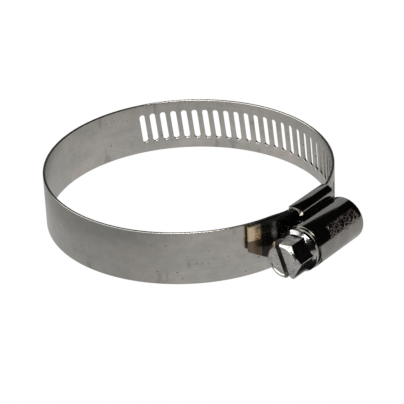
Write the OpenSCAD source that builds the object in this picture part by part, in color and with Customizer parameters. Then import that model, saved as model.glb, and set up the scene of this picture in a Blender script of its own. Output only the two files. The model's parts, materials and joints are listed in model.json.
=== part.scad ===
// Worm-drive hose clamp: a perforated band drawn through a stamped housing by a worm screw.
// Origin on the axis of the clamped ring, at the middle of the band's width.
// +Z runs along the ring's axis, the housing is at -Y, the screw lies along X with its head at -X.

/* [Ring] */
// Inside diameter of the ring at its widest setting
bore_d = 63.5; // [50:0.5:110]
// Width of the band
band_w = 12.7; // [10.5:0.1:16]
// Thickness of the band
band_t = 0.6; // [0.5:0.02:0.8]
// Free gap between the fixed end of the band and the tail that slides over it
tail_gap = 0.3; // [0.25:0.01:0.4]

/* [Tail] */
// Length of tail from the middle of the housing to its tip
tail_reach = 16.5; // [15:0.1:22]
// Height above the middle of the band at which the tip's slanted edge starts
tip_low = 0.2; // [0:0.1:3]
// Slope of the slanted edge in degrees
tip_slope = 30; // [30:1:45]

/* [Perforations] */
// Pitch of the worm and of the slots that it drives
pitch = 2.565; // [2.1:0.005:3.2]
// Width of a slot
slot_w = 1.42; // [1.05:0.01:1.5]
// Length of a slot
slot_len = 7.4; // [6:0.1:8.8]
// Slots on the tail's side of the screw's middle
slots_tail = 3; // [2:1:3]
// Slots on the ring's side of the screw's middle
slots_ring = 33; // [20:1:33]

/* [Worm screw] */
// Thread diameter over the crests
crest_d = 8.7; // [7.4:0.1:10.6]
// Height of the thread
thread_h = 1.05; // [0.85:0.05:1.3]
// Width of the thread at its crest
crest_w = 0.42; // [0.3:0.02:0.5]
// Width across the flats of the hexagon head
hex_af = 7.94; // [6.5:0.01:9.4]
// Length of the hexagon head
head_len = 6.2; // [5:0.1:8]
// Thickness of the collar behind the head
collar_t = 1.2; // [0.8:0.1:1.6]
// Width of the screwdriver slot
driver_w = 1.3; // [1:0.1:1.6]
// Depth of the screwdriver slot
driver_deep = 2.2; // [1.6:0.1:2.8]
// Diameter of the journal at the far end
journal_d = 6.0; // [5:0.1:6.2]

/* [Housing] */
// Length of the dome in front of the screw's middle, on the head side
dome_front = 7.3; // [6.6:0.1:9]
// Length of the dome behind the screw's middle
dome_back = 8.9; // [7.6:0.1:10.2]
// Length of the side lobes on the head side
lobe_front = 4.5; // [3.6:0.1:5.6]
// Length of the side lobes behind the screw's middle
lobe_back = 8.0; // [6.6:0.1:9.6]
// Thickness of the housing's sheet
shell_t = 0.65; // [0.6:0.05:0.9]
// Thickness of the saddle
saddle_t = 0.5; // [0.4:0.05:0.6]
// Width of the saddle
saddle_w = 8.8; // [7:0.1:9.4]

/* [Clearances] */
// Running clearance on radius between the screw and the housing
run_clear = 0.07; // [0.03:0.01:0.1]
// Clearance between the band's edges and the housing
side_clear = 0.15; // [0.15:0.01:0.3]
// How far the thread reaches into the band
mesh_depth = 0.4; // [0.3:0.02:0.48]
// Clearance round the bending joints in the band
bend_clear = 0.02; // [0.01:0.01:0.04]

/* [Hidden] */
$fn = 144;
ring_facets = 288;
corner_facets = 48;
slot_facets = 32;
eps = 0.01;
over = 1;
far = 4 * bore_d;

// Ring. The tail's half of the ring is an arc about arc_c, so that the tail slides along its own
// curve, and the plain half is an arc about the origin. The two are tangent at the back.
bore_r = bore_d / 2;
rise = (saddle_t + band_t + tail_gap) / 2;
arc_c = [0, -rise];
arc_r = bore_r + rise;
fixed_r = bore_r + saddle_t;
tail_r = arc_r + band_t;
tail_face = tail_r + rise;

// Screw
crest_r = crest_d / 2;
root_r = crest_r - thread_h;
contact_r = crest_r - mesh_depth;
axis_y = -(tail_face + contact_r);
lead = atan(pitch / (2 * PI * contact_r));
collar_gap = 0.1;
head_margin = 0.1;
collar_x = -dome_front - collar_gap;
collar_r = contact_r + sagitta(tail_r, dome_front) - head_margin;
hex_r = hex_af / 2 / cos(30);
head_x = min(collar_x - collar_t, -chord_half(tail_r, hex_r + head_margin - contact_r));
end_x = head_x - head_len;
journal_step = 0.3;
front_journal_r = root_r + journal_step;
thread_gap = 0.2;
thread_x0 = -dome_front + shell_t + thread_gap;
thread_x1 = dome_back - shell_t - thread_gap;
flank = 17;
thread_foot = 0.15;
thread_steps = 20;
hex_turn = 86;
driver_turn = -21;
chamfer = 0.6;

// Housing
dome_in = crest_r + run_clear;
dome_out = dome_in + shell_t;
ceiling_gap = 0.7;
ceiling = contact_r - ceiling_gap;
inner_half = band_w / 2 + side_clear;
outer_half = inner_half + shell_t;
lobe_corner = 2;
inner_corner = 1;
lobe_deep = -axis_y - bore_r + 2 * over;
relief_w = 2.5;
relief_run = 3.2;
relief_deep = 3;
foot_gap = 0.1;

// Bends: four upright hinges stand for the band's bending. Their mean point is arc_c.
first_bend = 28;
pin_inset = 0.03;
pin_r = band_t / 2 - pin_inset;
slot_step = pitch / (arc_r + band_t / 2) * 180 / PI;
slot_angles = [for (k = [-slots_tail : slots_ring]) k * slot_step];
last_bend_slot = 9.5;
last_bend_shift = 0.16;
last_bend = slot_step * last_bend_slot - last_bend_shift / arc_r * 180 / PI;
mid_plain = bore_r + band_t / 2;
mid_holed = arc_r + band_t / 2;
bend_1 = mid_plain * [-sin(first_bend), -cos(first_bend)];
bend_4 = arc_c + mid_holed * [sin(last_bend), -cos(last_bend)];
rest_sum = 4 * arc_c - bend_1 - bend_4;
bend_3 = meet(arc_c, mid_holed, rest_sum, mid_plain);
bend_2 = rest_sum - bend_3;
turn_1 = -first_bend;
turn_2 = atan2(bend_2[0], -bend_2[1]);
turn_3 = atan2(bend_3[0] - arc_c[0], arc_c[1] - bend_3[1]);
turn_4 = last_bend;
back_parts = 72;
tip_turn = -tail_reach / (arc_r + band_t) * 180 / PI;

// Fixed end of the band: it steps up onto the saddle
step_gap = 0.2;
step_start = -asin((lobe_front + step_gap) / fixed_r);
step_len = 5;
step_end = step_start - step_len / bore_r * 180 / PI;
step_parts = 12;
fixed_reach = 5;
fixed_stop = asin(fixed_reach / fixed_r);

// Height of an arc of radius r over its chord at half-width x, and the half-width at a height
function sagitta(r, x) = r - sqrt(r * r - x * x);
function chord_half(r, h) = sqrt(max(0, r * r - pow(r - max(0, h), 2)));

// The crossing of two circles that lies to the right of the line from a to b
function meet(a, ra, b, rb) =
    let (d = b - a, len = norm(d), along = (ra * ra - rb * rb + len * len) / (2 * len),
         off = sqrt(ra * ra - along * along), u = d / len)
    a + along * u + off * [abs(u[1]), -u[0] * sign(u[1])];

// Point on a circle about c, by the angle from the housing, counter-clockwise seen from above
function on_ring(c, r, turn) = c + r * [sin(turn), -cos(turn)];

// A curved strip of the band about c, from one angle to another
module strip(c, r, from, to, w = band_w, t = band_t) {
    translate([c[0], c[1], 0]) rotate([0, 0, from - 90])
        rotate_extrude(angle = to - from, $fn = ring_facets) translate([r, -w / 2]) square([t, w]);
}

// The round end that a bending joint turns on
module bend_pin(p) {
    translate([p[0], p[1], 0]) cylinder(r = pin_r, h = band_w, center = true, $fn = corner_facets);
}

// The space that a bending joint leaves for the round end beside it
module bend_socket(p) {
    translate([p[0], p[1], 0])
        cylinder(r = band_t / 2 + bend_clear, h = band_w + over, center = true,
                 $fn = corner_facets);
}

// One round-ended slot cutter at an angle on the holed arc
module slot_cut(turn) {
    translate([arc_c[0], arc_c[1], 0]) rotate([0, 0, turn]) translate([0, -arc_r + over, 0])
        rotate([90, 0, 0]) linear_extrude(band_t + 2 * over) rotate(-lead) {
            square([slot_w, slot_len - slot_w], center = true);
            for (s = [-1, 1]) translate([0, s * (slot_len - slot_w) / 2])
                circle(d = slot_w, $fn = slot_facets);
        }
}

// All slots between two angles
module slots(from, to) {
    for (a = slot_angles) if (a > from && a < to) slot_cut(a);
}

// Radius of the fixed end's inner face where it steps down from the saddle to the ring
function step_r(part) = bore_r + saddle_t * (1 + cos(180 * max(0, min(1, part)))) / 2;

// Points along one face of the step, a face up from its inner one, with a little of both arcs
function step_face(up) = [for (i = [-1 : step_parts + 1]) let (p = i / step_parts)
    on_ring([0, 0], step_r(p) + up, step_start + (step_end - step_start) * p)];

function reversed(list) = [for (i = [len(list) - 1 : -1 : 0]) list[i]];

// Points along one face of the band's back, where its two arcs meet
function back_face(up) = [for (i = [0 : back_parts])
    let (turn = turn_3 + (360 + turn_2 - turn_3) * i / back_parts)
    turn < 180 ? on_ring(arc_c, arc_r + up, turn) : on_ring([0, 0], bore_r + up, turn)];

module band_fixed_end() {
    color("silver") union() {
        strip([0, 0], fixed_r, step_start, fixed_stop);
        linear_extrude(band_w, center = true)
            polygon(concat(step_face(0), reversed(step_face(band_t))));
        strip([0, 0], bore_r, turn_1, step_end);
        bend_pin(bend_1);
    }
}

module band_left() {
    color("silver") difference() {
        union() {
            strip([0, 0], bore_r, turn_2, turn_1);
            bend_pin(bend_2);
        }
        bend_socket(bend_1);
    }
}

module band_back() {
    color("silver") difference() {
        union() {
            linear_extrude(band_w, center = true)
                polygon(concat(back_face(0), reversed(back_face(band_t))));
            bend_pin(bend_3);
        }
        bend_socket(bend_2);
    }
}

module band_right() {
    color("silver") difference() {
        strip(arc_c, arc_r, turn_4, turn_3);
        bend_socket(bend_3);
        bend_socket(bend_4);
        slots(turn_4, turn_3);
    }
}

module band_tail() {
    color("silver") difference() {
        union() {
            strip(arc_c, arc_r, tip_turn, turn_4);
            bend_pin(bend_4);
        }
        slots(tip_turn, turn_4);
        tip_cut();
    }
}

// The wedge cut from the lower corner of the tail's tip
module tip_cut() {
    drop = band_w;
    run = drop / tan(tip_slope);
    translate([arc_c[0], arc_c[1], 0]) rotate([0, 0, tip_turn]) translate([0, -arc_r + 2 * over, 0])
        rotate([90, 0, 0]) linear_extrude(band_t + 4 * over) polygon([
            [-over, tip_low + over * tan(tip_slope)],
            [run, tip_low - drop],
            [-over, tip_low - drop]]);
}

// Draws an outline out along the screw's axis. Its x is the height, downwards, and its y is the
// distance from the axis towards the ring.
module along_screw(x0, x1) {
    translate([x0, axis_y, 0]) rotate([0, 90, 0]) linear_extrude(x1 - x0) children();
}

// A channel that opens towards the ring, with its two top corners rounded
module channel(half, top, r) {
    for (s = [-1, 1]) translate([s * (half - r), top + r]) circle(r = r, $fn = corner_facets);
    translate([-half + r, top]) square([2 * (half - r), r + eps]);
    translate([-half, top + r]) square([2 * half, lobe_deep - top - r]);
}

// The stamped sheet: a dome over the thread and two lobes round the band's edges
module sheet() {
    difference() {
        union() {
            along_screw(-dome_front, dome_back) circle(r = dome_out);
            along_screw(-lobe_front, lobe_back) channel(outer_half, ceiling - shell_t, lobe_corner);
        }
        along_screw(-dome_front + shell_t, dome_back - shell_t) circle(r = dome_in);
        along_screw(-dome_front - over, 0) circle(r = front_journal_r + run_clear);
        along_screw(0, dome_back + over) circle(r = journal_d / 2 + run_clear);
        along_screw(-lobe_front - over, lobe_back + over)
            channel(inner_half, ceiling, inner_corner);
        relief();
        cylinder(r = bore_r, h = far, center = true, $fn = ring_facets);
    }
}

// The cut that frees the dome from the lobes on the head side
module relief() {
    linear_extrude(2 * far, center = true) polygon([
        [-far, axis_y + relief_w],
        [-lobe_front + relief_run, axis_y + relief_w],
        [-lobe_front, axis_y + relief_w + relief_deep],
        [-lobe_front, 0],
        [-far, 0]]);
}

// The edges of the lobes, which turn in under the band beside the saddle
module feet() {
    foot_w = outer_half - saddle_w / 2 - foot_gap;
    for (s = [-1, 1]) translate([0, 0, s * (outer_half - foot_w / 2)])
        strip([0, 0], bore_r, -asin(lobe_front / fixed_r), asin(lobe_back / fixed_r),
              foot_w, saddle_t);
}

module housing() {
    color("dimgray") union() {
        sheet();
        feet();
    }
}

module saddle() {
    color("gray") strip([0, 0], bore_r, -asin(lobe_front / fixed_r), asin(lobe_back / fixed_r),
                        saddle_w, saddle_t);
}

// The worm: one ridge wound round the core, with a crest at x = 0 on the side of the ring
module thread() {
    base_w = crest_w + 2 * (thread_h + thread_foot) * tan(flank);
    first = ceil((thread_x0 + base_w / 2) / pitch * thread_steps);
    last = floor((thread_x1 - base_w / 2) / pitch * thread_steps);
    section = [[-base_w / 2, root_r - thread_foot], [-crest_w / 2, crest_r],
               [crest_w / 2, crest_r], [base_w / 2, root_r - thread_foot]];
    corners = [for (i = [first : last]) let (a = i * 360 / thread_steps) for (p = section)
        [i * pitch / thread_steps + p[0], axis_y + p[1] * cos(a), p[1] * sin(a)]];
    count = last - first;
    walls = [for (i = [0 : count - 1]) for (j = [0 : 3]) let (a = 4 * i + j, b = 4 * i + (j + 1) % 4)
        each [[a, b, b + 4], [a, b + 4, a + 4]]];
    polyhedron(corners, concat([[3, 2, 1, 0]], walls, [[for (j = [0 : 3]) 4 * count + j]]));
}

// The hexagon, with its corners chamfered at the end
module hex_head() {
    intersection() {
        along_screw(end_x, head_x) rotate(hex_turn) circle(r = hex_r, $fn = 6);
        translate([end_x, axis_y, 0]) rotate([0, 90, 0]) rotate_extrude() polygon([
            [0, 0], [hex_af / 2, 0], [hex_af / 2 + chamfer, chamfer],
            [hex_af / 2 + chamfer, head_len + over], [0, head_len + over]]);
    }
}

module worm_screw() {
    color("lightgray") difference() {
        union() {
            hex_head();
            along_screw(collar_x - collar_t, collar_x) circle(r = collar_r);
            along_screw(head_x - eps, thread_x0) circle(r = front_journal_r);
            along_screw(collar_x, thread_x1) circle(r = root_r);
            along_screw(0, dome_back) circle(r = journal_d / 2);
            thread();
        }
        translate([end_x, axis_y, 0]) rotate([driver_turn, 0, 0])
            cube([2 * driver_deep, driver_w, 3 * hex_r], center = true);
    }
}

band_fixed_end();
band_left();
band_back();
band_right();
band_tail();
housing();
saddle();
worm_screw();
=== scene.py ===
import json
import math

import bpy
from mathutils import Matrix, Vector


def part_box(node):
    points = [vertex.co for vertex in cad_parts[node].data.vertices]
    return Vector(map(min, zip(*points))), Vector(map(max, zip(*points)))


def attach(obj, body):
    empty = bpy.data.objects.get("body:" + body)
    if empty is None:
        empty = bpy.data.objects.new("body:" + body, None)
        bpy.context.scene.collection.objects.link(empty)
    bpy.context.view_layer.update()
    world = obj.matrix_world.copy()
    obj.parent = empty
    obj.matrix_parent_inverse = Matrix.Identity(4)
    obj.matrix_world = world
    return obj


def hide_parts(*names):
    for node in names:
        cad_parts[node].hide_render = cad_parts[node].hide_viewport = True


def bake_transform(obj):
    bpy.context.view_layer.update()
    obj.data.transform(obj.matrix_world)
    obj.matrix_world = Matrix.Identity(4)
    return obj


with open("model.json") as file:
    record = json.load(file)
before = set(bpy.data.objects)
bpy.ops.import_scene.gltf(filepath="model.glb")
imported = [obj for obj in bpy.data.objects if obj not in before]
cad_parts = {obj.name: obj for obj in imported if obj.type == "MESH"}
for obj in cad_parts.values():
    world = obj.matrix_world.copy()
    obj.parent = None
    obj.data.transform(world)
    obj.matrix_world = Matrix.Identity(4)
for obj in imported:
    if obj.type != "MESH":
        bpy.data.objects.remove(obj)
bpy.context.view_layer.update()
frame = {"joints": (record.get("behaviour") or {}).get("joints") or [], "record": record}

# ---------------------------------------------------------------------------------------------
# The band's fixed end: one end of a rolled stainless strip. It lies on the saddle inside the
# housing, steps down onto the hose just outside it, and runs round the front left of the ring.
# It is spun as a thin rounded section.
mm = 0.001
band_width = (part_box("band_left")[1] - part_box("band_left")[0]).z
band_thick = 0.6 * mm
plain_radius = frame["record"]["mounts"][0]["dims"]["r_mm"] * mm
plain_centre = Vector((0, 0, 0))
saddle_thick = 0.5 * mm
band_corner = 0.24 * mm
degrees_a_step = 0.6
step_from, step_to = -8.4, -17.4
seam_left, seam_back, seam_right = -81.1, -171.6, 96.8


def on_ring(centre, radius, turn):
    """Point of the ring at an angle from the housing, counter-clockwise seen from above."""
    a = math.radians(turn)
    return centre + Vector((math.sin(a), -math.cos(a), 0)) * radius


def turn_of(point, near):
    """Angle of a point round the ring, on the branch that lies within half a turn of near."""
    turn = math.degrees(math.atan2(point.x, -point.y))
    return near + (turn - near + 180) % 360 - 180


def rounded_section(name, centre, radius, turn, thick, width, corner):
    """A rounded rectangle that stands across the ring at one angle, as the start of a strip."""
    bpy.ops.object.select_all(action="DESELECT")
    middle = on_ring(centre, radius + thick / 2, turn)
    stand = (math.radians(90), 0, math.radians(turn - 90))
    bpy.ops.mesh.primitive_plane_add(size=1, location=middle, rotation=stand)
    piece = bpy.context.object
    piece.name = piece.data.name = name
    piece.scale = (thick, width, 1)
    bpy.ops.object.transform_apply(location=True, rotation=True, scale=True)
    bpy.ops.object.mode_set(mode="EDIT")
    bpy.ops.mesh.select_all(action="SELECT")
    bpy.ops.mesh.bevel(offset=corner, segments=4, affect="VERTICES")
    return piece


def sweep(turns, centre, degrees=degrees_a_step):
    """Spins what is selected round the ring's axis by so many degrees, counter-clockwise."""
    steps = max(2, round(abs(turns) / degrees))
    bpy.ops.mesh.spin(steps=steps, angle=math.radians(-turns), center=centre, axis=(0, 0, 1))


def close_up(piece, merge=0.002 * mm):
    """Leaves edit mode with the doubles merged and every face pointing outwards."""
    bpy.ops.mesh.select_all(action="SELECT")
    bpy.ops.mesh.remove_doubles(threshold=merge)
    bpy.ops.mesh.delete_loose(use_verts=True, use_edges=True, use_faces=False)
    bpy.ops.mesh.select_all(action="SELECT")
    bpy.ops.mesh.normals_make_consistent(inside=False)
    bpy.ops.object.mode_set(mode="OBJECT")
    return piece


def smooth(piece, angle=32):
    """Shades a piece smooth, with its edges sharper than an angle kept crisp."""
    bpy.ops.object.select_all(action="DESELECT")
    piece.select_set(True)
    bpy.context.view_layer.objects.active = piece
    bpy.ops.object.shade_smooth_by_angle(angle=math.radians(angle))


def lay_along(piece, near):
    """A UV map in metres: along the strip from the housing, and across its width."""
    layer = piece.data.uv_layers.new(name="Along")
    for loop in piece.data.loops:
        point = piece.data.vertices[loop.vertex_index].co
        along = math.radians(turn_of(point, near)) * plain_radius
        layer.data[loop.index].uv = (along, point.z)


class Signal:
    """A value that changes over a surface. Arithmetic on it adds Math nodes to its finish."""

    def __init__(self, finish, socket):
        self.finish = finish
        self.socket = socket

    def math(self, operation, *values):
        return self.finish.node("ShaderNodeMath", {"operation": operation}, dict(enumerate(values)))

    def __add__(self, other):
        return self.math("ADD", self, other)

    def __sub__(self, other):
        return self.math("SUBTRACT", self, other)

    def __rsub__(self, other):
        return self.math("SUBTRACT", other, self)

    def __mul__(self, other):
        return self.math("MULTIPLY", self, other)

    __radd__ = __add__
    __rmul__ = __mul__

    def above(self, low, high):
        """0 below low, 1 above high and a soft step between."""
        return self.finish.node(
            "ShaderNodeMapRange",
            {"interpolation_type": "SMOOTHSTEP"},
            {"Value": self, "From Min": low, "From Max": high},
        )

    def within(self, low, high, soft):
        return self.above(low - soft, low + soft) * (1 - self.above(high - soft, high + soft))


class Finish:
    """One finish: a material whose maps the methods wire. It is metal unless told otherwise."""

    def __init__(self, name, **constants):
        self.material = bpy.data.materials.new(name)
        self.material.use_nodes = True
        self.tree = self.material.node_tree
        self.shader = self.tree.nodes["Principled BSDF"]
        self.shader.inputs["Metallic"].default_value = 1.0
        for socket, value in constants.items():
            self.shader.inputs[socket.replace("_", " ")].default_value = value

    def node(self, kind, settings=None, inputs=None, out=0):
        made = self.tree.nodes.new(kind)
        for key, value in (settings or {}).items():
            setattr(made, key, value)
        for key, value in (inputs or {}).items():
            self.feed(made.inputs[key], value)
        return Signal(self, made.outputs[out])

    def feed(self, socket, value):
        if isinstance(value, Signal):
            self.tree.links.new(value.socket, socket)
        else:
            socket.default_value = value

    def wire(self, **maps):
        for socket, value in maps.items():
            self.feed(self.shader.inputs[socket.replace("_", " ")], value)

    def stretched(self, place, x, y, z):
        return self.node("ShaderNodeMapping", None, {"Vector": place, "Scale": (x, y, z)})

    def noise(self, place, scale, detail=2.0, rough=0.5):
        inputs = {"Vector": place, "Scale": scale, "Detail": detail, "Roughness": rough}
        return self.node("ShaderNodeTexNoise", None, inputs)

    def blend(self, share, low, high):
        """Mixes two plain colours."""
        inputs = {0: share, 6: (*low, 1), 7: (*high, 1)}
        return self.node("ShaderNodeMix", {"data_type": "RGBA"}, inputs, out=2)

    def over(self, share, low, high):
        """Mixes a colour signal towards a plain colour."""
        inputs = {0: share, 6: low, 7: (*high, 1)}
        return self.node("ShaderNodeMix", {"data_type": "RGBA"}, inputs, out=2)

    def bump(self, height, distance, strength=1.0):
        inputs = {"Strength": strength, "Distance": distance, "Height": height}
        return self.node("ShaderNodeBump", None, inputs)


def band_finish(name, with_painted_light=False):
    """Bright rolled strip: brushed along its length, cloudy, with a few small dark specks.

    With painted light, it also gets painted shade where it leaves the housing, a painted golden
    reflection at its tip over a dark painted lower part, and a near-black painted reflection on the
    tail between the tip and the housing.
    """
    steel = Finish(name)
    place = steel.node("ShaderNodeUVMap", {"uv_map": "Along"})
    length = steel.node("ShaderNodeSeparateXYZ", None, {0: place}, out=0)
    streak = steel.noise(steel.stretched(place, 45, 2600, 1), 1.0, 3.0, 0.6)
    grain = steel.noise(steel.stretched(place, 900, 9000, 1), 1.0, 2.0, 0.5)
    cloud = steel.noise(steel.stretched(place, 60, 130, 1), 1.0, 2.0, 0.55)
    height = steel.node("ShaderNodeSeparateXYZ", None, {0: place}, out=1)
    mottle = steel.noise(steel.stretched(place, 420, 520, 1), 1.0, 3.0, 0.6).above(0.3, 0.7)
    tone = steel.blend(cloud.above(0.35, 0.68), (0.49, 0.475, 0.44), (0.60, 0.55, 0.505))
    tone = steel.over(streak.above(0.35, 0.75) * 0.35, tone, (0.66, 0.65, 0.62))
    tone = steel.over(mottle * 0.22, tone, (0.28, 0.27, 0.24))
    # Painted shade: the strip is painted darker towards its top edge.
    tone = steel.over(height.above(-6 * mm, 6 * mm) * 0.22, tone, (0.22, 0.22, 0.20))
    # Painted shade: a stretch on the left of the ring is painted darker, more so towards the top.
    left = length.within(-86 * mm, -33 * mm, 8 * mm)
    depth = 0.36 + height.above(-1 * mm, 5 * mm) * 0.18
    tone = steel.over(left * depth, tone, (0.13, 0.135, 0.125))
    speck = steel.noise(steel.stretched(place, 900, 1100, 1), 1.0, 1.0, 0.5).above(0.71, 0.77)
    tone = steel.over(speck * 0.6, tone, (0.10, 0.09, 0.08))
    stain = steel.noise(steel.stretched(place, 340, 110, 1), 1.0, 2.0, 0.6).above(0.62, 0.72)
    tone = steel.over(stain * 0.3, tone, (0.16, 0.14, 0.12))
    if with_painted_light:
        # Painted shade where the tail leaves the housing, broken up by the streaks.
        near = 1 - length.above(24 * mm, 38 * mm)
        tone = steel.over(near * (0.22 + streak.above(0.4, 0.6) * 0.3), tone, (0.14, 0.14, 0.13))
        # Painted reflection: the tip is painted golden, as if it mirrored a warm light, and painted
        # shade makes it dark brown below 2.6 mm.
        tip = 1 - length.above(-12.9 * mm, -12.5 * mm)
        fold = 1 - height.above(2.6 * mm, 2.9 * mm)
        tone = steel.over(tip * 0.8, tone, (0.85, 0.66, 0.42))
        tone = steel.over(tip * fold * 0.85, tone, (0.10, 0.065, 0.045))
        # Painted dark reflection: the tail between the tip and the housing is painted near black.
        painted_dark_reflection = (1 - tip) * (1 - length.above(-4 * mm, 2 * mm))
        tone = steel.over(painted_dark_reflection * 0.88, tone, (0.03, 0.03, 0.03))
    # Painted dark reflection: the strip's top and bottom edge faces are painted near black.
    flat_half = band_width / 2 - 0.015 * mm
    edge = 1 - height.within(-flat_half, flat_half, 0.01 * mm)
    tone = steel.over(edge * 0.9, tone, (0.035, 0.033, 0.03))
    rough = 0.17 + streak * 0.10 + cloud * 0.06 + speck * 0.2 + edge * 0.15
    relief = streak * 0.5 + grain * 0.3 + cloud * 1.2 + mottle * 0.4
    steel.wire(Base_Color=tone, Roughness=rough, Normal=steel.bump(relief, 0.004 * mm))
    return steel.material


band_steel = band_finish("band steel")


def strip_piece(piece, near, start, end, nodes, steel=band_steel):
    """Finishes one stretch of the band: UV map, shading and steel, with the CAD parts it replaces
    hidden.
    """
    lay_along(piece, near)
    piece.data.materials.clear()
    piece.data.materials.append(steel)
    smooth(piece)
    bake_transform(piece)
    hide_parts(*nodes)


fixed_end = rounded_section(
    "band_fixed_end_strip",
    plain_centre,
    plain_radius,
    seam_left,
    band_thick,
    band_width,
    band_corner,
)
fixed_stop = 9.0
sweep(fixed_stop - seam_left, plain_centre)
close_up(fixed_end)
for vertex in fixed_end.data.vertices:
    share = (turn_of(vertex.co, 0) - step_to) / (step_from - step_to)
    lift = saddle_thick * (1 - math.cos(math.pi * max(0, min(1, share)))) / 2
    flat = Vector((vertex.co.x, vertex.co.y, 0))
    vertex.co += flat.normalized() * lift
strip_piece(
    fixed_end,
    -30,
    on_ring(plain_centre, plain_radius, -14),
    on_ring(plain_centre, plain_radius, -50),
    ["band_fixed_end"],
)

# ---------------------------------------------------------------------------------------------
# The plain left side of the ring: the same strip, which goes on round the left to the back.
left_side = rounded_section(
    "band_left_strip", plain_centre, plain_radius, seam_back, band_thick, band_width, band_corner
)
sweep(seam_left - seam_back, plain_centre)
close_up(left_side)
strip_piece(
    left_side,
    -125,
    on_ring(plain_centre, plain_radius, -96),
    on_ring(plain_centre, plain_radius, -168),
    ["band_left"],
)

# ---------------------------------------------------------------------------------------------
# The back of the ring, where the worm's slots begin. From the middle of the back on, the strip
# follows the wider curve of the tail. Each slot is punched through with a slightly eased edge.
holed_centre = Vector((0, -0.7 * mm, 0))
holed_radius = plain_radius + 0.7 * mm
pitch = 2.565 * mm
slot_width, slot_length = 1.42 * mm, 7.4 * mm
slot_ease = 0.04 * mm
first_slot, seam_slot, last_slot = -3, 21, 33
screw_radius = 3.95 * mm
slot_lean = math.degrees(math.atan(pitch / (2 * math.pi * screw_radius)))
slot_step = math.degrees(pitch / (holed_radius + band_thick / 2))


def use(piece, kind, name, **settings):
    """Adds a modifier to a piece and applies it."""
    modifier = piece.modifiers.new(name, kind)
    for key, value in settings.items():
        setattr(modifier, key, value)
    bpy.ops.object.select_all(action="DESELECT")
    piece.select_set(True)
    bpy.context.view_layer.objects.active = piece
    bpy.ops.object.modifier_apply(modifier=name)


def cut(piece, tool, operation="DIFFERENCE"):
    """Cuts a piece with a tool, or joins the tool to it, and throws the tool away."""
    use(piece, "BOOLEAN", "cut", object=tool, operation=operation, solver="MANIFOLD")
    bpy.data.objects.remove(tool)
    return piece


def slot_punch():
    """A punch with round ends, as thick as the strip and flared at both faces."""
    bpy.ops.object.select_all(action="DESELECT")
    bpy.ops.mesh.primitive_circle_add(vertices=28, radius=slot_width / 2, fill_type="NGON")
    punch = bpy.context.object
    for vertex in punch.data.vertices:
        if abs(vertex.co.y) > 0.01 * mm:
            vertex.co.y += math.copysign((slot_length - slot_width) / 2, vertex.co.y)
    bpy.ops.object.mode_set(mode="EDIT")
    bpy.ops.mesh.select_all(action="SELECT")
    over = 0.1 * mm
    flare = slot_ease + over
    wide = (1 + 2 * flare / slot_width, 1 + 2 * flare / slot_length, 1)
    bpy.ops.transform.resize(value=wide)
    bpy.ops.transform.translate(value=(0, 0, -band_thick / 2 - over))
    for rise, size in (
        (flare, [1 / w for w in wide]),
        (band_thick - 2 * slot_ease, (1, 1, 1)),
        (flare, wide),
    ):
        bpy.ops.mesh.extrude_region_move(TRANSFORM_OT_translate={"value": (0, 0, rise)})
        bpy.ops.transform.resize(value=size)
    return close_up(punch)


def punch_slots(piece, numbers):
    """Punches the numbered slots through a piece, all at once."""
    pattern = slot_punch()
    tools = []
    for number in numbers:
        tool = pattern.copy()
        tool.data = pattern.data.copy()
        bpy.context.collection.objects.link(tool)
        tool.matrix_world = (
            Matrix.Translation(holed_centre)
            @ Matrix.Rotation(math.radians(number * slot_step), 4, "Z")
            @ Matrix.Translation((0, -holed_radius - band_thick / 2, 0))
            @ Matrix.Rotation(math.radians(90), 4, "X")
            @ Matrix.Rotation(math.radians(-slot_lean), 4, "Z")
        )
        tools.append(tool)
    bpy.data.objects.remove(pattern)
    bpy.ops.object.select_all(action="DESELECT")
    for tool in tools:
        tool.select_set(True)
    bpy.context.view_layer.objects.active = tools[0]
    bpy.ops.object.transform_apply(location=True, rotation=True, scale=True)
    bpy.ops.object.join()
    cut(piece, tools[0])


back_side = rounded_section(
    "band_back_strip", plain_centre, plain_radius, seam_back, band_thick, band_width, band_corner
)
sweep(-180 - seam_back, plain_centre)
sweep(seam_right - 180, holed_centre)
close_up(back_side)
punch_slots(back_side, range(seam_slot + 1, last_slot + 1))
strip_piece(
    back_side,
    150,
    on_ring(plain_centre, plain_radius, -176),
    on_ring(holed_centre, holed_radius, 114),
    ["band_back"],
)

# ---------------------------------------------------------------------------------------------
# The tail: the slotted strip goes on round the right, through the housing under the worm, and
# ends in a slanted tip that stands clear of the ring. It stays one curve so that it can slide.
tail_reach = 16.5 * mm
tip_low, tip_slope = 0.2 * mm, 30
tip_turn = -math.degrees(tail_reach / (holed_radius + band_thick))
tail = rounded_section(
    "band_tail_strip", holed_centre, holed_radius, tip_turn, band_thick, band_width, band_corner
)
sweep(seam_right - tip_turn, holed_centre)
close_up(tail)
punch_slots(tail, range(first_slot, seam_slot + 1))


def tip_shear():
    """A block that trims the lower corner of the tip along a slant."""
    bpy.ops.object.select_all(action="DESELECT")
    bpy.ops.mesh.primitive_cube_add(size=1)
    shear = bpy.context.object
    drop = band_width
    outline = [(-1 * mm, tip_low + math.tan(math.radians(tip_slope)) * mm)]
    outline.append((drop / math.tan(math.radians(tip_slope)), tip_low - drop))
    place = (
        Matrix.Translation(holed_centre)
        @ Matrix.Rotation(math.radians(tip_turn), 4, "Z")
        @ Matrix.Translation((0, -holed_radius, 0))
    )
    for vertex in shear.data.vertices:
        x, z = outline[0] if vertex.co.x < 0 else outline[1]
        if vertex.co.z < 0:
            z = tip_low - 2 * drop
        vertex.co = place @ Vector((x, math.copysign(2 * mm, vertex.co.y), z))
    return shear


cut(tail, tip_shear())
strip_piece(
    tail,
    35,
    on_ring(holed_centre, holed_radius, 80),
    on_ring(holed_centre, holed_radius, 38),
    ["band_right", "band_tail"],
    band_finish("tail steel", with_painted_light=True),
)

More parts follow.
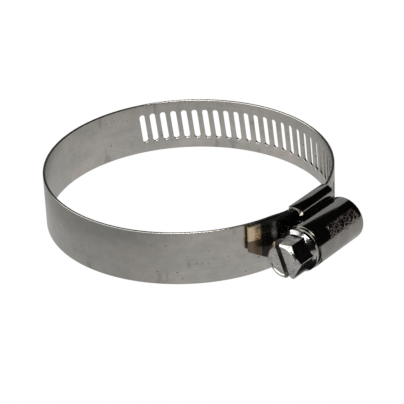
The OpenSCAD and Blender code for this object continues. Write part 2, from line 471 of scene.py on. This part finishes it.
# ---------------------------------------------------------------------------------------------
# The housing: stamped and polished stainless sheet. A round dome covers the thread, and on each
# side a rounded lobe folds down over the band's edge. It is made as a solid blank, then hollowed.
screw_y = frame["joints"][0]["pos_m"][1]
dome_front, dome_back = -7.3 * mm, 8.9 * mm
lobe_front, lobe_back = -4.5 * mm, 8.0 * mm
sheet = 0.65 * mm
dome_in, dome_out = 4.42 * mm, 5.07 * mm
lobe_roof = 2.6 * mm
lobe_side = 7.15 * mm
lobe_round = 2.0 * mm
valley_round = 0.4 * mm


def spun(name, profile, steps=128):
    """A solid turned about the screw's axis from (x, radius) points that begin and end on it."""
    bpy.ops.object.select_all(action="DESELECT")
    bpy.ops.mesh.primitive_circle_add(vertices=len(profile), radius=mm, fill_type="NOTHING")
    piece = bpy.context.object
    piece.name = piece.data.name = name
    for vertex, (x, radius) in zip(piece.data.vertices, profile):
        vertex.co = (x, screw_y, radius)
    bpy.ops.object.mode_set(mode="EDIT")
    bpy.ops.mesh.select_all(action="SELECT")
    bpy.ops.mesh.spin(
        steps=steps, angle=math.radians(360), center=(0, screw_y, 0), axis=(1, 0, 0)
    )
    return close_up(piece)


def rolled(name, outline, x0, x1):
    """A solid drawn along the screw from an outline of (distance towards the ring, height)."""
    bpy.ops.object.select_all(action="DESELECT")
    bpy.ops.mesh.primitive_circle_add(vertices=len(outline), radius=mm, fill_type="NGON")
    piece = bpy.context.object
    piece.name = piece.data.name = name
    for vertex, (out, height) in zip(piece.data.vertices, outline):
        vertex.co = (x0, screw_y + out, height)
    bpy.ops.object.mode_set(mode="EDIT")
    bpy.ops.mesh.select_all(action="SELECT")
    bpy.ops.mesh.extrude_region_move(TRANSFORM_OT_translate={"value": (x1 - x0, 0, 0)})
    return close_up(piece)


def arc(centre, radius, start, stop, parts=10):
    """Points of an arc between two angles in degrees."""
    turns = [math.radians(start + (stop - start) * i / parts) for i in range(parts + 1)]
    return [(centre[0] + radius * math.cos(a), centre[1] + radius * math.sin(a)) for a in turns]


def mirrored(half):
    """An outline closed by its mirror image below."""
    return half + [(x, -z) for x, z in reversed(half)]


end_round = 0.8 * mm
blank = spun(
    "housing_shell",
    [(dome_front, 0), (dome_front, dome_out)]
    + arc((dome_back - end_round, dome_out - end_round), end_round, 90, 0, 10)
    + [(dome_back, 0)],
)
valley_out = lobe_roof - valley_round
valley_reach = dome_out + valley_round - 0.03 * mm
valley_up = math.sqrt(valley_reach**2 - valley_out**2)
valley_turn = math.degrees(math.atan2(valley_up, valley_out))
# Half of the lobes' outline: out of the dome, round the valley, over the roof and down the side
lobe_half = (
    [(1.0 * mm, 4.3 * mm)]
    + arc((valley_out, valley_up), valley_round, 180 + valley_turn, 360, 12)
    + arc((lobe_roof + lobe_round, lobe_side - lobe_round), lobe_round, 180, 90, 12)
    + [(5.36 * mm, lobe_side), (9.5 * mm, 3.67 * mm)]
)
lobes = rolled("lobes", mirrored(lobe_half), lobe_front - mm, lobe_back + mm)


def upright(name, outline):
    """A block through the housing from top to bottom, from an outline of (x, towards the ring)."""
    bpy.ops.object.select_all(action="DESELECT")
    bpy.ops.mesh.primitive_circle_add(vertices=len(outline), radius=mm, fill_type="NGON")
    piece = bpy.context.object
    piece.name = name
    for vertex, (x, out) in zip(piece.data.vertices, outline):
        vertex.co = (x, screw_y + out, -10 * mm)
    bpy.ops.object.mode_set(mode="EDIT")
    bpy.ops.mesh.select_all(action="SELECT")
    bpy.ops.mesh.extrude_region_move(TRANSFORM_OT_translate={"value": (0, 0, 20 * mm)})
    return close_up(piece)


corner_turn, front_turn, relief_turn = 2.6 * mm, 1.3 * mm, 2.3 * mm
plan = arc((lobe_back - corner_turn, 4.0 * mm), corner_turn, 0, 90, 10) + [
    (lobe_back - corner_turn, 12 * mm),
    (lobe_front - 0.5 * mm, 12 * mm),
    (lobe_front - 0.5 * mm, 0.5 * mm),
    (lobe_back, 0.5 * mm),
]
cut(lobes, upright("plan", plan), "INTERSECT")
cut(blank, lobes, "UNION")
front_hole, back_hole = 3.67 * mm, 3.07 * mm
cavity = spun(
    "cavity",
    [
        (dome_front - mm, 0),
        (dome_front - mm, front_hole),
        (dome_front + sheet, front_hole),
        (dome_front + sheet, dome_in),
    ]
    + arc((dome_back - sheet - 0.3 * mm, dome_in - 0.3 * mm), 0.3 * mm, 90, 0, 6)
    + [
        (dome_back - sheet, back_hole),
        (dome_back + mm, back_hole),
        (dome_back + mm, 0),
    ],
)
cut(blank, cavity)
inner_side, inner_roof, inner_round = 6.5 * mm, 3.25 * mm, 1.0 * mm
channel_half = (
    arc((inner_roof + inner_round, inner_side - inner_round), inner_round, 180, 90, 8)
    + [(12 * mm, inner_side)]
)
channel = rolled("channel", mirrored(channel_half), lobe_front - mm, lobe_back + mm)


def drum(radius):
    """A cylinder about the ring's axis."""
    bpy.ops.object.select_all(action="DESELECT")
    bpy.ops.mesh.primitive_cylinder_add(vertices=480, radius=radius, depth=30 * mm)
    return bpy.context.object


# Each lobe ends in a foot that turns in under the band, so the channel stops short above it
cut(channel, drum(plain_radius + saddle_thick))
cut(blank, channel)
# Between the two feet the shell stays open for the saddle
foot_edge = 4.5 * mm
gap_half = [(4.2 * mm, foot_edge), (11 * mm, foot_edge)]
cut(blank, rolled("gap", mirrored(gap_half), lobe_front - 2 * mm, lobe_back + 2 * mm))
front_relief = (
    [(lobe_front + front_turn, 13 * mm)]
    + arc((lobe_front + front_turn, 4.9 * mm), front_turn, 90, 180, 8)
    + arc((lobe_front + relief_turn, 4.9 * mm), relief_turn, 184, 270, 10)
    + [(lobe_front + 3.2 * mm, 2.5 * mm), (dome_front - mm, 2.5 * mm), (dome_front - mm, 13 * mm)]
)
cut(blank, upright("front relief", front_relief))
cut(blank, drum(plain_radius))
fold_round = 0.9 * mm


def fold_cutter(side):
    """A ring that rounds the fold where a lobe turns in to its foot."""
    bpy.ops.object.select_all(action="DESELECT")
    inset = fold_round - 0.03 * mm
    edge = arc((plain_radius + inset, lobe_side - inset), fold_round, 180, 90, 8)
    outline = edge + [
        (plain_radius + inset, lobe_side + mm),
        (plain_radius - mm, lobe_side + mm),
        (plain_radius - mm, lobe_side - inset),
    ]
    bpy.ops.mesh.primitive_circle_add(vertices=len(outline), radius=mm, fill_type="NGON")
    piece = bpy.context.object
    for vertex, (radius, height) in zip(piece.data.vertices, outline):
        vertex.co = on_ring(plain_centre, radius, -20) + Vector((0, 0, side * height))
    bpy.ops.object.mode_set(mode="EDIT")
    bpy.ops.mesh.select_all(action="SELECT")
    sweep(45, plain_centre, 0.75)
    return close_up(piece)


for side in (1, -1):
    cut(blank, fold_cutter(side))


def housing_finish():
    """Polished stamping: faint drawing lines, and a worn, unlettered stamped field on the dome."""
    steel = Finish("housing steel")
    place = steel.node("ShaderNodeTexCoord", out=3)
    draw = steel.noise(steel.stretched(place, 300, 2400, 2400), 1.0, 3.0, 0.6)
    cloud = steel.noise(place, 260.0, 2.0, 0.5)
    tone = steel.blend(cloud.above(0.35, 0.7), (0.29, 0.28, 0.255), (0.36, 0.345, 0.32))
    along = steel.node("ShaderNodeSeparateXYZ", None, {0: place}, out=0)
    up = steel.node("ShaderNodeSeparateXYZ", None, {0: place}, out=2)
    out = steel.node("ShaderNodeSeparateXYZ", None, {0: place}, out=1)
    field = along.within(-3.2 * mm, 7.4 * mm, 0.3 * mm) * up.within(0.5 * mm, 4.1 * mm, 0.25 * mm)
    field = field * (1 - out.above(screw_y - 2.2 * mm, screw_y - 2.0 * mm))
    cells = steel.node(
        "ShaderNodeTexVoronoi",
        {"feature": "DISTANCE_TO_EDGE"},
        {"Vector": steel.stretched(place, 900, 1100, 1100), "Scale": 1.0},
    )
    wear = steel.noise(place, 1500.0, 2.0, 0.6).above(0.35, 0.55)
    strokes = (1 - cells.above(0.05, 0.22)) * wear * field
    tone = steel.over(strokes * 0.7, tone, (0.45, 0.36, 0.34))
    rough = 0.09 + draw * 0.05 + cloud * 0.03 + strokes * 0.25 + field * 0.06
    height = draw * 0.4 + cloud * 0.6 - strokes * 8.0
    steel.wire(Base_Color=tone, Roughness=rough, Normal=steel.bump(height, 0.004 * mm))
    return steel.material


housing_steel = housing_finish()
blank.data.materials.clear()
blank.data.materials.append(housing_steel)
bpy.ops.object.mode_set(mode="EDIT")
close_up(blank, 0.01 * mm)
use(
    blank,
    "BEVEL",
    "ease",
    width=0.1 * mm,
    segments=2,
    limit_method="ANGLE",
    angle_limit=math.radians(50),
)
smooth(blank)
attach(blank, "clamp_body")
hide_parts("housing")

# ---------------------------------------------------------------------------------------------
# The saddle: a small curved plate between the hose and the band's fixed end, held by the feet.
saddle_width, saddle_corner = 8.8 * mm, 0.12 * mm
saddle_from = math.degrees(math.asin(lobe_front / (plain_radius + saddle_thick)))
saddle_to = math.degrees(math.asin(lobe_back / (plain_radius + saddle_thick)))
saddle = rounded_section(
    "saddle_plate",
    plain_centre,
    plain_radius,
    saddle_from,
    saddle_thick,
    saddle_width,
    saddle_corner,
)
sweep(saddle_to - saddle_from, plain_centre)
close_up(saddle)
saddle.data.materials.append(housing_steel)
smooth(saddle)
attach(saddle, "clamp_body")
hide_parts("saddle")

# ---------------------------------------------------------------------------------------------
# The worm screw: cold-headed and rolled in one piece. Its hexagon runs out into a flared collar,
# the end is cut across for a screwdriver, and one ridge winds round the core under the dome.
head_end, head_foot = -14.8 * mm, -8.9 * mm
collar_end = -7.4 * mm
hex_flat = 3.97 * mm
hex_corner = hex_flat / math.cos(math.radians(30))
root_radius, crest_radius = 3.3 * mm, 4.35 * mm
end_ease = 0.32 * mm
head_turn, driver_turn = 56, -21


def hexagon():
    """The hexagon, its end turned off to a round rim."""
    turns = [math.radians(head_turn + 60 * side) for side in range(6)]
    corners = [(hex_corner * math.cos(a), hex_corner * math.sin(a)) for a in turns]
    prism = rolled("hexagon", corners, head_end, head_foot + 0.6 * mm)
    bpy.ops.object.mode_set(mode="EDIT")
    bpy.ops.mesh.select_all(action="DESELECT")
    bpy.ops.object.mode_set(mode="OBJECT")
    for edge in prism.data.edges:
        a, b = (prism.data.vertices[i].co for i in edge.vertices)
        edge.select = abs((a - b).x) > mm
    bpy.ops.object.mode_set(mode="EDIT")
    bpy.ops.mesh.bevel(offset=0.22 * mm, segments=3)
    close_up(prism)
    rim = spun(
        "rim",
        [(head_end + 0.24 * mm, 0), (head_end + 0.2 * mm, 3.05 * mm), (head_end, 3.28 * mm)]
        + arc((head_end + end_ease, 3.75 * mm - end_ease), end_ease, 180, 120, 6)
        + [(head_end + 0.95 * mm, hex_corner + 0.1 * mm), (0, hex_corner + 0.1 * mm), (0, 0)],
    )
    return cut(prism, rim, "INTERSECT")


worm = hexagon()
worm.name = worm.data.name = "worm_screw_body"
collar = spun(
    "collar",
    [(head_end + 1.5 * mm, 0), (head_end + 1.5 * mm, 3.5 * mm)]
    + [(-11.9 * mm, 3.66 * mm), (-11.3 * mm, 3.76 * mm), (-10.7 * mm, 3.89 * mm)]
    + [(-10.2 * mm, 4.04 * mm), (-9.85 * mm, 4.17 * mm), (-9.68 * mm, 4.28 * mm)]
    + [(-9.13 * mm, 4.87 * mm), (-9.02 * mm, 4.94 * mm), (-8.86 * mm, 4.97 * mm)]
    + [(-8.6 * mm, 4.92 * mm), (-8.0 * mm, 4.8 * mm), (-7.6 * mm, 4.66 * mm)]
    + [(collar_end, 4.45 * mm), (collar_end, 3.6 * mm), (-6.4 * mm, 3.6 * mm)]
    + [(-6.3 * mm, root_radius), (7.95 * mm, root_radius), (8.05 * mm, 3.0 * mm)]
    + arc((dome_back - 0.3 * mm, 2.7 * mm), 0.3 * mm, 90, 0, 4)
    + [(dome_back, 0)],
)
cut(worm, collar, "UNION")


def ridge():
    """The thread: a trapezium wound round the core, with its crest over the middle slot."""
    bpy.ops.object.select_all(action="DESELECT")
    bpy.ops.mesh.primitive_circle_add(vertices=4, radius=mm, fill_type="NOTHING")
    piece = bpy.context.object
    half_foot, half_crest, sunk = 0.58 * mm, 0.21 * mm, 0.15 * mm
    before, after = 2.2, 2.8
    shape = [
        (-half_foot, root_radius - sunk),
        (-half_crest, crest_radius),
        (half_crest, crest_radius),
        (half_foot, root_radius - sunk),
    ]
    for vertex, (x, radius) in zip(piece.data.vertices, shape):
        vertex.co = (x - before * pitch, 0, radius)
    turns = before + after
    use(
        piece,
        "SCREW",
        "wind",
        axis="X",
        angle=math.radians(turns * 360),
        screw_offset=turns * pitch,
        steps=round(turns * 48),
        render_steps=round(turns * 48),
    )
    start = Matrix.Rotation(math.radians(-before * 360 - 90), 4, "X")
    piece.data.transform(Matrix.Translation((0, screw_y, 0)) @ start)
    bpy.ops.object.mode_set(mode="EDIT")
    bpy.ops.mesh.select_all(action="DESELECT")
    bpy.ops.mesh.select_non_manifold()
    bpy.ops.mesh.edge_face_add()
    return close_up(piece)


cut(worm, ridge(), "UNION")


def driver_cutter():
    """The screwdriver slot's cutter, with eased mouths."""
    bpy.ops.object.select_all(action="DESELECT")
    half, deep, ease = 0.65 * mm, 2.2 * mm, 0.12 * mm
    outline = [
        (-half, head_end + deep),
        (-half, head_end + ease),
        (-half - 3 * ease, head_end - 2 * ease),
        (half + 3 * ease, head_end - 2 * ease),
        (half, head_end + ease),
        (half, head_end + deep),
    ]
    bpy.ops.mesh.primitive_circle_add(vertices=len(outline), radius=mm, fill_type="NGON")
    blade = bpy.context.object
    for vertex, (side, x) in zip(blade.data.vertices, outline):
        vertex.co = (x, side, -6 * mm)
    bpy.ops.object.mode_set(mode="EDIT")
    bpy.ops.mesh.select_all(action="SELECT")
    bpy.ops.mesh.extrude_region_move(TRANSFORM_OT_translate={"value": (0, 0, 12 * mm)})
    close_up(blade)
    blade.data.transform(
        Matrix.Translation((0, screw_y, 0)) @ Matrix.Rotation(math.radians(driver_turn), 4, "X")
    )
    return blade


cut(worm, driver_cutter())


def screw_finish():
    """Bright tumbled steel with small dents, and a duller, scratched end face."""
    steel = Finish("screw steel")
    place = steel.node("ShaderNodeTexCoord", out=3)
    dents = steel.noise(place, 900.0, 2.0, 0.5)
    cloud = steel.noise(place, 350.0, 2.0, 0.5)
    along = steel.node("ShaderNodeSeparateXYZ", None, {0: place}, out=0)
    face = 1 - along.above(head_end + 0.26 * mm, head_end + 0.3 * mm)
    scratch = steel.noise(steel.stretched(place, 400, 700, 2600), 1.0, 3.0, 0.65).above(0.42, 0.62)
    tone = steel.blend(cloud.above(0.35, 0.7), (0.46, 0.45, 0.43), (0.58, 0.56, 0.54))
    tone = steel.over(scratch * face * 0.5, tone, (0.20, 0.18, 0.17))
    tone = steel.over(dents.above(0.42, 0.56) * (1 - face) * 0.5, tone, (0.12, 0.11, 0.10))
    rough = 0.08 + dents * 0.08 + cloud * 0.05 + face * 0.08
    relief = dents * 0.8 + cloud * 1.0 + scratch * face * 0.6
    steel.wire(Base_Color=tone, Roughness=rough, Normal=steel.bump(relief, 0.012 * mm))
    return steel.material


screw_steel = screw_finish()
worm.data.materials.clear()
worm.data.materials.append(screw_steel)
bpy.ops.object.select_all(action="DESELECT")
worm.select_set(True)
bpy.context.view_layer.objects.active = worm
bpy.ops.object.mode_set(mode="EDIT")
close_up(worm, 0.01 * mm)
smooth(worm, 30)
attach(worm, "worm_screw")
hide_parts("worm_screw")

# ---------------------------------------------------------------------------------------------
# The table: a plain white sheet under the lowest point of the housing.
bpy.ops.object.select_all(action="DESELECT")
bpy.ops.mesh.primitive_plane_add(size=8, location=(0, 0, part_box("housing")[0].z - 0.05 * mm))
table = bpy.context.object
table.name = "table"
white = Finish("white table", Metallic=0.0, Roughness=1.0, Specular_IOR_Level=0.0)
seen = white.node("ShaderNodeLightPath")
white.wire(
    Base_Color=(0, 0, 0, 1),
    Emission_Color=white.blend(seen, (0.6, 0.6, 0.6), (1, 1, 1)),
    Emission_Strength=1.0,
)
table.data.materials.append(white.material)

# A black flag lies on the table under the screw as a painted shadow, standing in for the shade
# there. Only reflections see it, never the camera.
flag_z = table.location.z + 0.02 * mm
bpy.ops.object.select_all(action="DESELECT")
bpy.ops.mesh.primitive_plane_add(size=1)
flag = bpy.context.object
flag.name = "flag"
for vertex in flag.data.vertices:
    vertex.co = (-8 * mm + vertex.co.x * 10 * mm, -50 * mm + vertex.co.y * 20 * mm, flag_z)
black = Finish("black flag", Metallic=0.0, Roughness=1.0, Specular_IOR_Level=0.0)
black.wire(Base_Color=(0.01, 0.01, 0.01, 1))
flag.data.materials.append(black.material)
flag.visible_camera = False
flag.visible_shadow = False

# ---------------------------------------------------------------------------------------------
# Studio light: a dim room, a soft box high above the camera, a wide one low on its left, and a
# weak one on the far side.
scene = bpy.context.scene
scene.view_settings.view_transform = "Standard"
room = bpy.data.worlds.new("room")
room.use_nodes = True
room.node_tree.nodes["Background"].inputs["Color"].default_value = (0.004, 0.004, 0.004, 1)
room.node_tree.nodes["Background"].inputs["Strength"].default_value = 1.0
scene.world = room

view_turn, view_rise = -50.0, 28.366


def direction(turn, rise):
    """Unit vector from the ring's middle to a place, by the view's own angles."""
    a, e = math.radians(turn), math.radians(rise)
    return Vector((math.sin(a) * math.cos(e), -math.cos(a) * math.cos(e), math.sin(e)))


def soft_box(name, turn, rise, distance, width, height, power):
    lamp = bpy.data.lights.new(name, "AREA")
    lamp.shape = "RECTANGLE"
    lamp.size, lamp.size_y = width, height
    lamp.energy = power
    box = bpy.data.objects.new(name, lamp)
    scene.collection.objects.link(box)
    box.location = direction(turn, rise) * distance
    box.rotation_mode = "QUATERNION"
    box.rotation_quaternion = direction(turn, rise).to_track_quat("Z", "Y")


soft_box("key soft box", view_turn + 3, 62, 0.9, 0.5, 0.34, 5.5)
soft_box("left soft box", view_turn - 70, 32, 0.8, 1.9, 0.8, 13.0)
soft_box("far soft box", view_turn + 175, 28, 1.0, 0.6, 0.62, 0.55)

# ---------------------------------------------------------------------------------------------
# The camera: a long lens, a little above the table, turned slightly and shifted for the framing.
view_distance, view_roll = 458.3 * mm, -2.87
lens = bpy.data.cameras.new("camera")
lens.sensor_width = 36
lens.lens = 179.36
lens.shift_x, lens.shift_y = 0.03776, -0.03726
lens.clip_start, lens.clip_end = 0.01, 50
lens.dof.use_dof = False
camera = bpy.data.objects.new("camera", lens)
scene.collection.objects.link(camera)
camera.location = direction(view_turn, view_rise) * view_distance
camera.rotation_mode = "QUATERNION"
camera.rotation_quaternion = (
    direction(view_turn, view_rise).to_track_quat("Z", "Y")
    @ Matrix.Rotation(math.radians(view_roll), 4, "Z").to_quaternion()
)
scene.camera = camera
